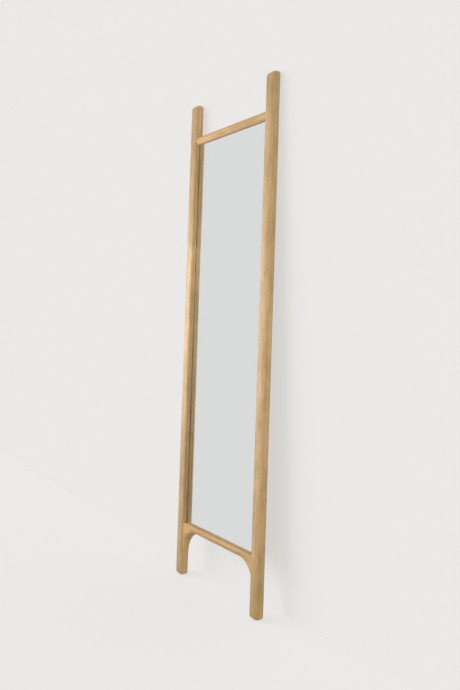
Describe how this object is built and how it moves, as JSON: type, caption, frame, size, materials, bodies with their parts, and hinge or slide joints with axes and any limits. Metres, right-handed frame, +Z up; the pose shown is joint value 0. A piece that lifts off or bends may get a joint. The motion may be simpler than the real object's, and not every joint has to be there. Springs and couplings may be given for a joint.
{
  "type": "leaning floor mirror",
  "caption": "Leaning full-length mirror with rounded oak uprights, a round top rail, an arched bottom rail with curved knees, and a tall pane held from behind by a back panel.",
  "frame": {"origin": "on the floor, at the centre of the whole mirror's box", "axes": "+Z up; +Y from the front towards the wall it leans on; +X to the right of someone looking at its front"},
  "size_m": [0.52, 0.1128, 1.8],
  "materials": {
    "oak": "matt oiled solid oak, fine straight grain along each piece",
    "mirror": "silvered float glass with a faint green tint",
    "fibreboard": "plain brown fibreboard, fine fibres, matt",
    "foam_tape": "closed-cell foam tape",
    "setting_block": "matt black rubber",
    "beech_dowel": "raw beech",
    "steel": "zinc-plated steel",
    "pad_rubber": "matt dark rubber",
    "felt": "dense brown felt"
  },
  "bodies": {
    "root": {"back_panel": "fibreboard", "bottom_rail": "oak", "top_rail": "oak", "upright_left": "oak", "upright_right": "oak", "bottom_rail_dowel_1_left": "beech_dowel", "bottom_rail_dowel_1_right": "beech_dowel", "bottom_rail_dowel_2_left": "beech_dowel", "bottom_rail_dowel_2_right": "beech_dowel", "top_rail_dowel_1_left": "beech_dowel", "top_rail_dowel_1_right": "beech_dowel", "top_rail_dowel_2_left": "beech_dowel", "top_rail_dowel_2_right": "beech_dowel", "foot_pad_left": "pad_rubber", "foot_pad_right": "pad_rubber", "keyhole_plate_left": "steel", "keyhole_plate_right": "steel", "keyhole_screw_1_left": "steel", "keyhole_screw_1_right": "steel", "keyhole_screw_2_left": "steel", "keyhole_screw_2_right": "steel", "panel_screw_1_left": "steel", "panel_screw_1_right": "steel", "panel_screw_2_left": "steel", "panel_screw_2_right": "steel", "panel_screw_3_left": "steel", "panel_screw_3_right": "steel", "panel_screw_4_left": "steel", "panel_screw_4_right": "steel", "panel_screw_5_left": "steel", "panel_screw_5_right": "steel", "panel_screw_6_left": "steel", "panel_screw_6_right": "steel", "mirror_pane": "mirror", "mounting_tape_left": "foam_tape", "mounting_tape_middle": "foam_tape", "mounting_tape_right": "foam_tape", "setting_block_left": "setting_block", "setting_block_right": "setting_block", "wall_bumper_left": "felt", "wall_bumper_right": "felt"}
  },
  "joints": []
}
